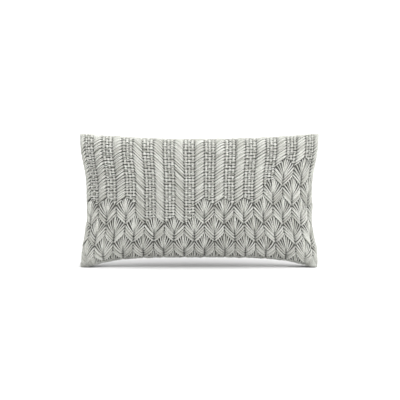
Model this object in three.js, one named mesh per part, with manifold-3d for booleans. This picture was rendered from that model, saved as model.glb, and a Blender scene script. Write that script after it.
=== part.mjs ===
// A lumbar throw pillow, standing on its two lower corners: an embroidered front on a woven canvas,
// a plain back in two panels joined by a zip, and a loose insert of ticking and filling.
// Millimetres. +X runs along the length, +Z is up, and the embroidered front faces -Y.
// The origin is on the floor, below the middle of the seam.
import * as THREE from "three";
import { mergeVertices } from "three/addons/utils/BufferGeometryUtils.js";
import Module from "manifold-3d";

const wasm = await Module();
wasm.setup();

// ---- driving dimensions ------------------------------------------------------------------------
// The cover as it is cut, laid flat and measured along the cloth from seam to seam.
const COVER_WIDTH = 560;
const COVER_HEIGHT = 316;
// Filling the cover draws its corners in by this much at each end, and at the top and bottom.
const FILL_DRAW_WIDTH = 10;
const FILL_DRAW_HEIGHT = 3;
// How far each side of the seam pulls in between the corners.
const SIDE_PULL_IN = 14;
const TOP_PULL_IN = 13;
const BOTTOM_PULL_IN = 27;
const TOP_ARCH = 2.3; // how soon the long seams turn down to their corners: a higher power turns later
const BOTTOM_ARCH = 3.8;
// How far the cloth stands from the plane of the seam at the middle of each face.
const FRONT_CROWN = 50;
const BACK_CROWN = 55;
// The filling settles, so the lower half is this share fuller.
const SETTLING = 0.05;
// The lower corners carry the pillow, which presses them by this much into small flat feet.
const CORNER_PRESS = 3.5;
const FOOT_HALF_DEPTH = 11;

const CANVAS = 2.6; // thickness of the woven canvas behind the embroidery
const BACK_CLOTH = 1.8;
const TICKING = 1.2; // the insert's cotton case
const SEAM_GAP = 0.4; // between the front and the back where they are sewn together
const CLOTH_GAP = 0.5; // between a stitched piece and the canvas below it
const EDGE_GAP = 4.7; // added to CLOTH_GAP where the cloth turns round the edge
const STITCH_GAP = 0.4; // between neighbouring stitched pieces
const INSERT_ROOM = 11; // the insert's seam stays this far inside the cover's
const INSERT_SINK_FRONT = 8; // and its faces this far below the cover's at their middles
const INSERT_SINK_BACK = 18; // where the zip's slider needs its room
const FILL_ROOM = 6;
const FILL_SINK = 3.6;

// The embroidery is counted on the canvas threads: one stitch is one square of this size.
const STITCH = 7.3;
const RIB_STITCHES = 3; // a rib, and the woven band beside it, are each this many squares wide
const REPEAT = 2 * RIB_STITCHES;
const LEAF_RISE = 3; // how far a leaf's lower edge climbs from its foot to its side
const LEAF_SIDE = 3; // the straight length of a leaf's side
const LEAF_TIP = 8.2; // the height of a leaf at its middle
const RIB_HEIGHT = 5.6;
const LEAF_HEIGHT = 6.2;
const BAND_HEIGHT = 3.4;
const SIDE_MARGIN = 0.9; // bare canvas, in stitches, beside the seam at each end
const EDGE_MARGIN = 0.35; // and along the top and bottom

// Zip: a coil zip across the back, its line bent to the back's own curve.
const ZIP_HEIGHT = 62; // above the floor
const ZIP_LENGTH = 400; // between the stops
const ZIP_SINK = 3.5; // the tape lies this far below the back's outer face
const SLOT_ROOM = 1.2; // between the slider and the folded edges of the back panels
const TAPE_WIDTH = 11;
const TAPE = 0.7;
const TAPE_MARGIN = 9; // the tape runs on past each stop
const COIL_WIDTH = 2.6; // one side of the chain
const COIL_HEIGHT = 2.2;
const CHAIN_GAP = 1.4; // between the two sides of the chain, where the slider's divider runs
const DIVIDER = 0.6;
const SLIDER_LENGTH = 11;
const SLIDER_WALL = 1.1;
const SLIDER_CLEARANCE = 0.4;
const BRIDGE_LENGTH = 7.4;
const BRIDGE_WIDTH = 1.4;
const BRIDGE_WALL = 1.1;
const PULL_LENGTH = 24;
const PULL_WIDTH = 5.6;
const PULL_WALL = 1.3;
const PULL_CLEARANCE = 0.4;
const STOP_LENGTH = 2.6;
const STOP_STEP = 0.6; // how far a stop stands above what passes through the slider

// ---- the filled shape --------------------------------------------------------------------------
const SEAM_HALF_WIDTH = COVER_WIDTH / 2 - FILL_DRAW_WIDTH;
const SEAM_HALF_HEIGHT = COVER_HEIGHT / 2 - FILL_DRAW_HEIGHT;
const CENTRE_HEIGHT = SEAM_HALF_HEIGHT - CORNER_PRESS;
const FRONT = -1;
const BACK = 1;

const smooth = (low, high, t) => {
  const s = Math.min(1, Math.max(0, (t - low) / (high - low)));
  return s * s * (3 - 2 * s);
};
// The ends of the seam flare towards the corners, and its long sides are plain arches.
const sideHollow = (b) => 1 - smooth(0.22, 0.88, Math.abs(b));
const archHollow = (a, power) => 1 - Math.abs(a) ** power;
const round = (t) => Math.max(0, 1 - Math.abs(t) ** 2.2) ** 0.55;
// Cloth that is even from seam to seam looks closer together where it turns round an edge.
const turned = (s, power) => s * (1 + (1 - Math.abs(s) ** power) / power);
const TURN_X = 10;
const TURN_Z = 9;
// The pressed corners: full depth from just above the seam, fading upwards and inwards.
const foot = (a, b) =>
  smooth(0.72, 0.93, Math.abs(a)) *
  Math.sqrt(Math.min(1, (1 - Math.abs(a)) / 0.03)) *
  Math.sqrt(Math.min(1, (1 + b) / 0.012)) *
  (1 - smooth(0.02, 0.5, 1 + b));

// A layer is a pair of faces: its seam is drawn in by inset from the cover's.
const COVER = { inset: 0, frontCrown: FRONT_CROWN, backCrown: BACK_CROWN, footDepth: FOOT_HALF_DEPTH };
const INSERT = {
  inset: INSERT_ROOM,
  frontCrown: FRONT_CROWN - INSERT_SINK_FRONT,
  backCrown: BACK_CROWN - INSERT_SINK_BACK,
  footDepth: 0,
};
const FILLING = {
  inset: INSERT_ROOM + FILL_ROOM,
  frontCrown: INSERT.frontCrown - FILL_SINK,
  backCrown: INSERT.backCrown - FILL_SINK,
  footDepth: 0,
};

// The point of a face at the shares u and v of the cloth, from -1 to 1 from seam to seam.
function facePoint(side, u, v, layer = COVER) {
  const { inset, footDepth } = layer;
  const a = turned(u, TURN_X);
  const b = turned(v, TURN_Z);
  const top = SEAM_HALF_HEIGHT - inset - TOP_PULL_IN * archHollow(a, TOP_ARCH);
  const bottom = -SEAM_HALF_HEIGHT + inset + BOTTOM_PULL_IN * archHollow(a, BOTTOM_ARCH);
  const crown = side === FRONT ? layer.frontCrown : layer.backCrown;
  const depth = crown * round(a) * round(b) * (1 - SETTLING * b) + footDepth * foot(a, b);
  return new THREE.Vector3(
    a * (SEAM_HALF_WIDTH - inset - SIDE_PULL_IN * sideHollow(b)),
    side * (SEAM_GAP / 2 + depth),
    CENTRE_HEIGHT + (top + bottom) / 2 + (b * (top - bottom)) / 2,
  );
}

const NORMAL_EDGE = 0.975; // at the seam itself the face has no single normal
function faceNormal(side, u, v, layer = COVER) {
  const step = 0.01;
  const cu = Math.min(NORMAL_EDGE, Math.max(-NORMAL_EDGE, u));
  const cv = Math.min(NORMAL_EDGE, Math.max(-NORMAL_EDGE, v));
  const at = (p, q) => facePoint(side, p, q, layer);
  const along = at(cu + step, cv).sub(at(cu - step, cv));
  const up = at(cu, cv + step).sub(at(cu, cv - step));
  return along.cross(up).multiplyScalar(-side).normalize();
}

// A point raised from the face along its normal, kept on its own side of the seam's plane.
function raised(side, u, v, height, layer = COVER) {
  const p = facePoint(side, u, v, layer);
  p.addScaledVector(faceNormal(side, u, v, layer), height);
  p.y = side * Math.max(SEAM_GAP / 2, side * p.y);
  return p;
}

// ---- mesh helpers ------------------------------------------------------------------------------
const range = (count) => [...Array(Math.floor(count)).keys()];
const spread = (low, high, steps) => range(steps + 1).map((i) => low + ((high - low) * i) / steps);

function geometryOf(points, triangles) {
  return new THREE.BufferGeometry()
    .setAttribute("position", new THREE.Float32BufferAttribute(points.flatMap((p) => [p.x, p.y, p.z]), 3))
    .setIndex(triangles.flat());
}

// A closed sheet: outer and inner are grids of points, rows of columns, that face each other.
function sheet(outer, inner) {
  const rows = outer.length;
  const columns = outer[0].length;
  const size = rows * columns;
  const points = [...outer.flat(), ...inner.flat()];
  const at = (r, c) => r * columns + c;
  const triangles = [];
  const quad = (p, q, s, t) => triangles.push([p, q, s], [p, s, t]);
  for (const r of range(rows - 1)) {
    for (const c of range(columns - 1)) {
      quad(at(r, c), at(r, c + 1), at(r + 1, c + 1), at(r + 1, c));
      quad(size + at(r, c), size + at(r + 1, c), size + at(r + 1, c + 1), size + at(r, c + 1));
    }
  }
  const ring = [
    ...range(columns - 1).map((c) => at(0, c)),
    ...range(rows - 1).map((r) => at(r, columns - 1)),
    ...range(columns - 1).map((c) => at(rows - 1, columns - 1 - c)),
    ...range(rows - 1).map((r) => at(rows - 1 - r, 0)),
  ];
  ring.forEach((p, i) => {
    const q = ring[(i + 1) % ring.length];
    quad(q, p, size + p, size + q);
  });
  return geometryOf(points, triangles);
}

// Manifold solids, for the cuts. Points closer than WELD are one point.
const WELD = 1e-3;
function solidOf(geometry) {
  const bare = new THREE.BufferGeometry().setAttribute(
    "position",
    (geometry.index ? geometry.toNonIndexed() : geometry).getAttribute("position"),
  );
  const merged = mergeVertices(bare, WELD);
  const solid = new wasm.Manifold(
    new wasm.Mesh({
      numProp: 3,
      vertProperties: merged.attributes.position.array,
      triVerts: new Uint32Array(merged.index.array),
    }),
  );
  if (solid.volume() >= 0) return solid;
  const turnedRound = new Uint32Array(merged.index.array);
  for (let i = 0; i < turnedRound.length; i += 3) {
    [turnedRound[i + 1], turnedRound[i + 2]] = [turnedRound[i + 2], turnedRound[i + 1]];
  }
  return new wasm.Manifold(
    new wasm.Mesh({
      numProp: 3,
      vertProperties: merged.attributes.position.array,
      triVerts: turnedRound,
    }),
  );
}
function geometryFrom(solid) {
  const made = solid.getMesh();
  const points = range(made.numVert).map(
    (i) => new THREE.Vector3(...made.vertProperties.subarray(i * made.numProp, i * made.numProp + 3)),
  );
  return geometryOf(points, [[...made.triVerts]]);
}

// What reaches below the floor is pressed flat on it.
const FLOOR_BLOCK = solidOf(
  new THREE.BoxGeometry(4 * SEAM_HALF_WIDTH, 4 * SEAM_HALF_WIDTH, 100).translate(0, 0, -50),
);
const onFloor = (geometry) => geometryFrom(solidOf(geometry).subtract(FLOOR_BLOCK));

// ---- materials ---------------------------------------------------------------------------------
const finish = (color, roughness, metalness = 0) =>
  new THREE.MeshStandardMaterial({ color, roughness, metalness });
const WOOL = finish(0xb4b5ae, 0.95);
const CANVAS_WOOL = finish(0x8f908a, 0.95);
const BACK_WOOL = finish(0xa9aaa3, 0.9);
const COTTON = finish(0xeeece6, 0.9);
const FIBRE = finish(0xf6f5f1, 1);
const TAPE_GREY = finish(0x9fa09a, 0.85);
const COIL_GREY = finish(0x8a8b86, 0.45);
const NICKEL = finish(0xa9a8a4, 0.35, 1);

const pillow = new THREE.Group();
function add(name, geometry, material, parent = pillow) {
  const mesh = new THREE.Mesh(geometry, material);
  mesh.name = name;
  parent.add(mesh);
  return mesh;
}

// ---- the stitch grid ---------------------------------------------------------------------------
// column counts stitches from the left edge of the middle rib, and row from the middle of the height.
const MIDDLE_COLUMN = RIB_STITCHES / 2;
const HALF_COLUMNS = COVER_WIDTH / 2 / STITCH;
const HALF_ROWS = COVER_HEIGHT / 2 / STITCH;
const LEFT_COLUMN = MIDDLE_COLUMN - HALF_COLUMNS + SIDE_MARGIN;
const RIGHT_COLUMN = MIDDLE_COLUMN + HALF_COLUMNS - SIDE_MARGIN;
const TOP_ROW = HALF_ROWS - EDGE_MARGIN;
const BOTTOM_ROW = -TOP_ROW;
const shareAcross = (column) => (column - MIDDLE_COLUMN) / HALF_COLUMNS;
const shareUp = (row) => row / HALF_ROWS;

// A point above the canvas at a column and row of the stitch grid. The lowest layer of a stitched
// piece stands a little further off where the cloth turns round the edge.
function stitchPoint(column, row, height) {
  const u = shareAcross(column);
  const v = shareUp(row);
  const turn = Math.max(Math.abs(u), Math.abs(v)) ** 6;
  return raised(FRONT, u, v, CLOTH_GAP + EDGE_GAP * turn + height);
}

// Leaves stand on feet that are REPEAT apart, and each row is half a repeat to the side of the last.
// The upper rows are short, and the others run from side to side for as far down as the cover goes.
const FOOT_ROW = 4.4; // the row of the highest feet
const SHORT_ROWS = [
  { name: "leaf_row_1", level: 0, from: 25, to: 35 },
  { name: "leaf_row_2", level: 1, from: 22, to: Infinity },
  { name: "leaf_row_3_left", level: 2, from: -Infinity, to: -20 },
  { name: "leaf_row_3_right", level: 2, from: 2, to: Infinity },
];
const FIRST_FULL_LEVEL = 3;
const HALF_LEAF = 1.5; // a leaf is left out when the seam would cut away more than this past its foot
const BARE_CORNER = 5; // the lowest row stops this far short of the corners, where the cloth folds under
const footRow = (level) => FOOT_ROW - REPEAT * level;
const LOWEST_LEVEL = Math.ceil((FOOT_ROW + LEAF_RISE + LEAF_SIDE - BOTTOM_ROW - LEAF_RISE / 4) / REPEAT) - 1;
const FULL_ROWS = Array.from({ length: LOWEST_LEVEL - FIRST_FULL_LEVEL + 1 }, (_, i) => {
  const level = FIRST_FULL_LEVEL + i;
  const end = level === LOWEST_LEVEL ? -BARE_CORNER : HALF_LEAF;
  return { name: `leaf_row_${level + 1}`, level, from: LEFT_COLUMN - end, to: RIGHT_COLUMN + end };
});
const LEAF_ROWS = [...SHORT_ROWS, ...FULL_ROWS].map(({ name, level, from, to }) => {
  const offset = level % 2 === 0 ? RIB_STITCHES : 0;
  const low = Math.max(from, LEFT_COLUMN - HALF_LEAF);
  const high = Math.min(to, RIGHT_COLUMN + HALF_LEAF);
  const first = offset + REPEAT * Math.ceil((low - offset) / REPEAT);
  const last = offset + REPEAT * Math.floor((high - offset) / REPEAT);
  return { name, level, first, last };
});

// The top of the leaves just right (side 1) or left (side -1) of a column: the ribs and bands stop there.
function leafTop(column, side) {
  let top = BOTTOM_ROW;
  for (const { level, first, last } of LEAF_ROWS) {
    for (let foot = first; foot <= last; foot += REPEAT) {
      const away = side * (column - foot);
      if (away < -RIB_STITCHES || away >= RIB_STITCHES) continue;
      top = Math.max(top, footRow(level) + leafHeight(Math.abs(away) / RIB_STITCHES));
    }
  }
  return top;
}
// The height of a leaf's upper edge at the share out from its middle to its side.
const leafHeight = (out) => LEAF_TIP - (LEAF_TIP - LEAF_RISE - LEAF_SIDE) * out;

// ---- ribs and woven bands ----------------------------------------------------------------------
const STEPS_DOWN = 10;
// A strip of the given width whose section is given by [share across, height] points.
function strip(left, width, section) {
  const right = left + width;
  const turn = Math.abs(shareAcross((left + right) / 2)) ** 6;
  const gap = ((0.5 + turn) * STITCH_GAP) / STITCH;
  const inner = (share) =>
    Math.min(RIGHT_COLUMN, Math.max(LEFT_COLUMN, left + gap + (width - 2 * gap) * share));
  const endAt = (column) => {
    const low = leafTop(left, 1);
    const high = leafTop(right, -1);
    return low + ((high - low) * (column - left)) / width + (2 * STITCH_GAP) / STITCH;
  };
  const grid = (heightOf) =>
    range(STEPS_DOWN + 1).map((step) =>
      section.map(([share, height]) => {
        const column = inner(share);
        const end = endAt(column);
        const row = end + (TOP_ROW - end) * (step / STEPS_DOWN);
        return stitchPoint(column, row, heightOf(height, step));
      }),
    );
  const endSoft = (step) => (step === 0 || step === STEPS_DOWN ? 0.45 : 1);
  return sheet(
    grid((height, step) => height * endSoft(step)),
    grid(() => 0),
  );
}

const RIB_SECTION = [[0, 0.4], [0.25, 0.9], [0.5, 1], [0.75, 0.9], [1, 0.4]].map(([share, rise]) => [
  share,
  rise * RIB_HEIGHT,
]);
const BAND_SECTION = [[0, 0.8], [0.5, 1], [1, 0.8]].map(([share, rise]) => [share, rise * BAND_HEIGHT]);
const RIBS_EACH_SIDE = Math.floor((HALF_COLUMNS - MIDDLE_COLUMN) / REPEAT);
const label = (n) => String(n).padStart(2, "0");
range(2 * RIBS_EACH_SIDE + 1).forEach((i) => {
  const left = (i - RIBS_EACH_SIDE) * REPEAT;
  add(`rib_${label(i + 1)}`, strip(left, RIB_STITCHES, RIB_SECTION), WOOL);
});
range(2 * RIBS_EACH_SIDE).forEach((i) => {
  const left = (i - RIBS_EACH_SIDE) * REPEAT + RIB_STITCHES;
  add(`woven_band_${label(i + 1)}`, strip(left, REPEAT - RIB_STITCHES, BAND_SECTION), WOOL);
});

// ---- leaves ------------------------------------------------------------------------------------
const LEAF_LEVELS = [0, 0.16, 0.5, 0.84, 1];
const LEVEL_RISE = [0.4, 0.85, 1, 0.85, 0.4];
function leafRow({ level, first, last }) {
  const foot = footRow(level);
  const gap = STITCH_GAP / STITCH;
  const left = Math.max(LEFT_COLUMN, first - RIB_STITCHES + gap);
  const right = Math.min(RIGHT_COLUMN, last + RIB_STITCHES - gap);
  const between = range((2 * (right - left)) / RIB_STITCHES + 1)
    .map((i) => first - RIB_STITCHES + (i * RIB_STITCHES) / 2)
    .filter((column) => column > left && column < right);
  const columns = [left, ...between, right];
  const grid = (heightOf) =>
    LEAF_LEVELS.map((share, step) =>
      columns.map((column) => {
        const nearest = first + REPEAT * Math.round((column - first) / REPEAT);
        const out = Math.abs(column - nearest) / RIB_STITCHES;
        const low = Math.max(BOTTOM_ROW, foot + LEAF_RISE * out + gap);
        const high = foot + leafHeight(out) - gap;
        const crest = 0.55 + 0.45 * Math.sin(Math.PI * out);
        return stitchPoint(column, low + (high - low) * share, heightOf(crest * LEVEL_RISE[step]));
      }),
    );
  return sheet(
    grid((rise) => rise * LEAF_HEIGHT),
    grid(() => 0),
  );
}
for (const row of LEAF_ROWS) add(row.name, onFloor(leafRow(row)), WOOL);

// ---- the cover's cloth -------------------------------------------------------------------------
// The canvas is divided on the same columns and rows as the embroidery that it carries, and more
// closely where it turns round the edge.
const EDGE_SHARES = [0.93, 0.965, 0.985, 1];
const edged = (shares) => [
  ...EDGE_SHARES.map((s) => -s).reverse(),
  ...shares.filter((s) => Math.abs(s) < EDGE_SHARES[0] - 0.02),
  ...EDGE_SHARES,
];
const multiples = (low, high, step) => range((high - low) / step + 1).map((i) => low + i * step);
function canvas() {
  const columns = multiples(-RIBS_EACH_SIDE * REPEAT, (RIBS_EACH_SIDE + 1) * REPEAT, RIB_STITCHES);
  const rows = multiples(footRow(LEAF_ROWS.length - 1), HALF_ROWS, LEAF_RISE);
  const across = edged(columns.map(shareAcross));
  const up = edged(rows.map(shareUp));
  return sheet(
    up.map((v) => across.map((u) => raised(FRONT, u, v, 0))),
    up.map((v) => across.map((u) => raised(FRONT, u, v, -CANVAS))),
  );
}
add("front_canvas", onFloor(canvas()), CANVAS_WOOL);

// The back panels stop at the zip, so their edges there are level.
function shareAtHeight(u, height) {
  let low = -1;
  let high = 1;
  for (const _ of range(30)) {
    const middle = (low + high) / 2;
    if (facePoint(BACK, u, middle).z < height) low = middle;
    else high = middle;
  }
  return low;
}
// The zip's line is the level arc through the back's middle and the two stops, so everything in it
// is a section turned about one upright axis, and the slider swings about that axis too.
const zipDepth = (x) => {
  const u = x / SEAM_HALF_WIDTH;
  return facePoint(BACK, u, shareAtHeight(u, ZIP_HEIGHT)).y - ZIP_SINK;
};
const ZIP_SAG = zipDepth(0) - zipDepth(ZIP_LENGTH / 2);
const ZIP_RADIUS = (ZIP_LENGTH / 2) ** 2 / (2 * ZIP_SAG) + ZIP_SAG / 2;
const ZIP_AXIS_Y = zipDepth(0) - ZIP_RADIUS;
const zipNormal = faceNormal(BACK, 0.3, shareAtHeight(0.3, ZIP_HEIGHT - TAPE_WIDTH / 2));
const ZIP_TILT = Math.atan2(-zipNormal.z, zipNormal.y);
const angleAlong = (length) => length / ZIP_RADIUS;

const PANEL_COLUMNS = edged(spread(-0.9, 0.9, 22));
// shareRows gives the panel's rows as shares of the way from its low edge to its high one.
function backPanel(lowShare, highShare, shareRows) {
  const grid = (height) =>
    shareRows.map((share) =>
      PANEL_COLUMNS.map((u) => raised(BACK, u, lowShare(u) + (highShare(u) - lowShare(u)) * share, height)),
    );
  return sheet(grid(-BACK_CLOTH), grid(0));
}
// The slot between them is where the leaning slider stands out through the back's face.
const SLIDER_HALF_WIDTH = CHAIN_GAP / 2 + COIL_WIDTH + SLIDER_CLEARANCE + SLIDER_WALL;
const SLOT_HALF = SLIDER_HALF_WIDTH * Math.cos(ZIP_TILT) + SLOT_ROOM;
const SLOT_HEIGHT = ZIP_HEIGHT - ZIP_SINK * Math.sin(ZIP_TILT);
const zipEdge = (offset) => (u) => shareAtHeight(u, SLOT_HEIGHT + offset);
const LOWER_ROWS = [0, 0.03, 0.07, 0.13, 0.25, 0.5, 0.75, 1];
const UPPER_ROWS = [0, 0.11, 0.22, 0.34, 0.46, 0.58, 0.7, 0.81, 0.9, 0.96, 1];
add("back_panel_upper", backPanel(zipEdge(SLOT_HALF), () => 1, UPPER_ROWS), BACK_WOOL);
add("back_panel_lower", onFloor(backPanel(() => -1, zipEdge(-SLOT_HALF), LOWER_ROWS)), BACK_WOOL);

// ---- the zip -----------------------------------------------------------------------------------
// A section of [across, out] points, turned about the zip's axis between two places along the zip.
function alongZip(section, from, to, spacing) {
  const steps = Math.ceil((to - from) / spacing);
  const cos = Math.cos(ZIP_TILT);
  const sin = Math.sin(ZIP_TILT);
  const rings = spread(from, to, steps).map((along) =>
    section.map(([across, out]) => {
      const radius = ZIP_RADIUS + out * cos + across * sin;
      const angle = angleAlong(along);
      return new THREE.Vector3(
        radius * Math.sin(angle),
        ZIP_AXIS_Y + radius * Math.cos(angle),
        ZIP_HEIGHT + across * cos - out * sin,
      );
    }),
  );
  return ringed(rings);
}

// A closed tube through rings of points, its ends filled by fans.
function ringed(rings) {
  const size = rings[0].length;
  const triangles = [];
  for (const r of range(rings.length - 1)) {
    for (const c of range(size)) {
      const d = (c + 1) % size;
      triangles.push([r * size + c, (r + 1) * size + d, (r + 1) * size + c]);
      triangles.push([r * size + c, r * size + d, (r + 1) * size + d]);
    }
  }
  const last = (rings.length - 1) * size;
  for (const c of range(size - 2)) {
    triangles.push([0, c + 2, c + 1], [last, last + c + 1, last + c + 2]);
  }
  return geometryOf(rings.flat(), triangles);
}

const HALF_ZIP = ZIP_LENGTH / 2;
const ARC_SPACING = 20;
const END_GAP = 0.35;
const block = (low, high, bottom, top) => [
  [low, bottom],
  [low, top],
  [high, top],
  [high, bottom],
];
for (const [half, way] of [["upper", 1], ["lower", -1]]) {
  const side = (near, far, bottom, top) =>
    block(Math.min(way * near, way * far), Math.max(way * near, way * far), bottom, top);
  const near = CHAIN_GAP / 2;
  const coil = side(near, near + COIL_WIDTH, END_GAP, END_GAP + COIL_HEIGHT);
  const stopTop = END_GAP + COIL_HEIGHT + SLIDER_CLEARANCE + STOP_STEP;
  const stop = side(near, near + COIL_WIDTH, END_GAP, stopTop);
  const tapeEnd = HALF_ZIP + TAPE_MARGIN;
  add(`zip_tape_${half}`, alongZip(side(near, TAPE_WIDTH, -TAPE, 0), -tapeEnd, tapeEnd, ARC_SPACING), TAPE_GREY);
  add(`zip_coil_${half}`, alongZip(coil, -HALF_ZIP, HALF_ZIP, ARC_SPACING), COIL_GREY);
  const start = HALF_ZIP + END_GAP;
  add(`zip_top_stop_${half}`, alongZip(stop, start, start + STOP_LENGTH, STOP_LENGTH), NICKEL);
}
const bottomStop = block(
  -CHAIN_GAP / 2 - COIL_WIDTH,
  CHAIN_GAP / 2 + COIL_WIDTH,
  END_GAP,
  END_GAP + COIL_HEIGHT + SLIDER_CLEARANCE + STOP_STEP,
);
const bottomStopEnd = -HALF_ZIP - END_GAP;
add(
  "zip_bottom_stop",
  alongZip(bottomStop, bottomStopEnd - STOP_LENGTH, bottomStopEnd, STOP_LENGTH),
  NICKEL,
);

// The slider and its pull are drawn where the zip is closed, in a frame on the tape's outer face: +X
// along the chain, +Y outwards and +Z across.
const slider = new THREE.Group();
const sliderFrame = new THREE.Group();
const SLIDER_START = HALF_ZIP - SLIDER_LENGTH / 2 - 1;
slider.position.set(0, ZIP_AXIS_Y, ZIP_HEIGHT);
slider.rotation.z = -angleAlong(SLIDER_START);
sliderFrame.position.y = ZIP_RADIUS;
sliderFrame.rotation.x = -ZIP_TILT;
pillow.add(slider);
slider.add(sliderFrame);

const box = (x, y, z, sizeX, sizeY, sizeZ) =>
  solidOf(new THREE.BoxGeometry(sizeX, sizeY, sizeZ).translate(x, y, z));
const CHANNEL_TOP = END_GAP + COIL_HEIGHT + SLIDER_CLEARANCE;
const CHANNEL_BOTTOM = -TAPE - SLIDER_CLEARANCE;
const SLIDER_TOP = CHANNEL_TOP + SLIDER_WALL;
const CHANNEL_HALF = SLIDER_HALF_WIDTH - SLIDER_WALL;
function wing(bottom, top) {
  // Seen from outside, a wing is widest at the shoulders and narrows to the tail.
  const half = SLIDER_HALF_WIDTH;
  const outline = new THREE.Shape()
    .moveTo(-SLIDER_LENGTH / 2, -half + 1.4)
    .lineTo(-SLIDER_LENGTH / 2 + 1.6, -half)
    .lineTo(SLIDER_LENGTH / 2 - 2.6, -half)
    .lineTo(SLIDER_LENGTH / 2, -half + 2)
    .lineTo(SLIDER_LENGTH / 2, half - 2)
    .lineTo(SLIDER_LENGTH / 2 - 2.6, half)
    .lineTo(-SLIDER_LENGTH / 2 + 1.6, half)
    .lineTo(-SLIDER_LENGTH / 2, half - 1.4)
    .closePath();
  const plate = new THREE.ExtrudeGeometry(outline, { depth: top - bottom, bevelEnabled: false });
  return solidOf(plate.rotateX(-Math.PI / 2).translate(0, bottom, 0));
}
const PULL_AXIS_OUT = SLIDER_TOP + PULL_CLEARANCE + PULL_WALL * 0.75;
const BRIDGE_TOP = PULL_AXIS_OUT + PULL_WALL * 0.75 + PULL_CLEARANCE + BRIDGE_WALL;
function sliderBody() {
  const middle = (CHANNEL_TOP + CHANNEL_BOTTOM) / 2;
  const flangeBottom = SLIDER_CLEARANCE;
  const flange = (way) =>
    box(
      -0.6,
      (flangeBottom + SLIDER_TOP) / 2,
      way * (CHANNEL_HALF + SLIDER_WALL / 2),
      SLIDER_LENGTH - 4.4,
      SLIDER_TOP - flangeBottom,
      SLIDER_WALL,
    );
  const divider = box(
    SLIDER_LENGTH / 4,
    middle,
    0,
    SLIDER_LENGTH / 2 - 1,
    CHANNEL_TOP - CHANNEL_BOTTOM + SLIDER_WALL,
    DIVIDER,
  );
  const bridge = box(0, (SLIDER_TOP - 0.3 + BRIDGE_TOP) / 2, 0, BRIDGE_LENGTH, BRIDGE_TOP - SLIDER_TOP + 0.3, BRIDGE_WIDTH);
  const window = box(
    0,
    (SLIDER_TOP + BRIDGE_TOP - BRIDGE_WALL) / 2,
    0,
    BRIDGE_LENGTH - 2 * BRIDGE_WALL,
    BRIDGE_TOP - BRIDGE_WALL - SLIDER_TOP,
    2 * BRIDGE_WIDTH,
  );
  return wing(CHANNEL_TOP, SLIDER_TOP)
    .add(wing(CHANNEL_BOTTOM - SLIDER_WALL, CHANNEL_BOTTOM))
    .add(flange(1))
    .add(flange(-1))
    .add(divider)
    .add(bridge.subtract(window));
}
add("zip_slider", geometryFrom(sliderBody()), NICKEL, sliderFrame);

// The pull hangs on a bar through the bridge and lies along the chain, back over the closed side.
const pull = new THREE.Group();
pull.position.y = PULL_AXIS_OUT;
sliderFrame.add(pull);
function pullBody() {
  const bridgeReach = Math.hypot(BRIDGE_LENGTH / 2, BRIDGE_TOP - PULL_AXIS_OUT);
  const eyeLength = bridgeReach + PULL_CLEARANCE - PULL_WALL / 2;
  const eyeWidth = BRIDGE_WIDTH + 2 * PULL_CLEARANCE;
  const plate = box(PULL_WALL / 2 - PULL_LENGTH / 2, 0, 0, PULL_LENGTH, PULL_WALL, PULL_WIDTH);
  const eye = box(-PULL_WALL / 2 - eyeLength / 2, 0, 0, eyeLength, 3 * PULL_WALL, eyeWidth);
  return plate.subtract(eye);
}
add("zip_pull", geometryFrom(pullBody()), NICKEL, pull);

// ---- the insert --------------------------------------------------------------------------------
const INSERT_COLUMNS = spread(-1, 1, 16);
const INSERT_ROWS = spread(-1, 1, 12);
const insertGrid = (side, height, layer) =>
  INSERT_ROWS.map((v) => INSERT_COLUMNS.map((u) => raised(side, u, v, height, layer)));
add("insert_case_front", sheet(insertGrid(FRONT, 0, INSERT), insertGrid(FRONT, -TICKING, INSERT)), COTTON);
add("insert_case_back", sheet(insertGrid(BACK, -TICKING, INSERT), insertGrid(BACK, 0, INSERT)), COTTON);
add("insert_filling", sheet(insertGrid(FRONT, 0, FILLING), insertGrid(BACK, 0, FILLING)), FIBRE);

export default pillow;
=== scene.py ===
"""A lumbar throw pillow: a wool needlework front, a plain woven back with a zip, and a loose insert."""
import math

import bpy
import numpy as np
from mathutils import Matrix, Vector


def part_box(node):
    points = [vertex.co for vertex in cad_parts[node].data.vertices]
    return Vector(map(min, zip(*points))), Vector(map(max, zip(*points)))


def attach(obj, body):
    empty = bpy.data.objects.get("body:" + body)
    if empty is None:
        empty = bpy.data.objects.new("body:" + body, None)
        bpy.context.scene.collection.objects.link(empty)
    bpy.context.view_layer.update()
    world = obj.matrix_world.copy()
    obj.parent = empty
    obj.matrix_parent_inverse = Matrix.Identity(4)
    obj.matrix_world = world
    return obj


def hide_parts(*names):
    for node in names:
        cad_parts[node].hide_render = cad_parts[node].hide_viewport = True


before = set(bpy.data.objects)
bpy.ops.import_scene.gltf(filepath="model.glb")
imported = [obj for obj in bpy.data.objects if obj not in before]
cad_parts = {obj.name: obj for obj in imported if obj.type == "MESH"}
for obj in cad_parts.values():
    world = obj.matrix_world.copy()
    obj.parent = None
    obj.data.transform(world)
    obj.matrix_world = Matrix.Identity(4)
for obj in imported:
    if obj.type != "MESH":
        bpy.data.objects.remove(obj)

scene = bpy.context.scene
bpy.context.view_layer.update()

# ==== Camera ====================================================================================
# A long lens a little above the pillow's middle, square on to the embroidered front.
CAMERA_DISTANCE = 2.5
CAMERA_RISE = math.radians(6)
CAMERA_LENS = 98.6
CAMERA_TARGET = Vector((0.0015, 0, 0.154))
bpy.ops.object.select_all(action="DESELECT")
camera_place = CAMERA_TARGET + CAMERA_DISTANCE * Vector((0, -math.cos(CAMERA_RISE), math.sin(CAMERA_RISE)))
bpy.ops.object.camera_add(
    location=camera_place,
    rotation=(CAMERA_TARGET - camera_place).to_track_quat("-Z", "Y").to_euler(),
)
camera = bpy.context.object
camera.data.lens = CAMERA_LENS
scene.camera = camera
scene.view_settings.view_transform = "Standard"

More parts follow.
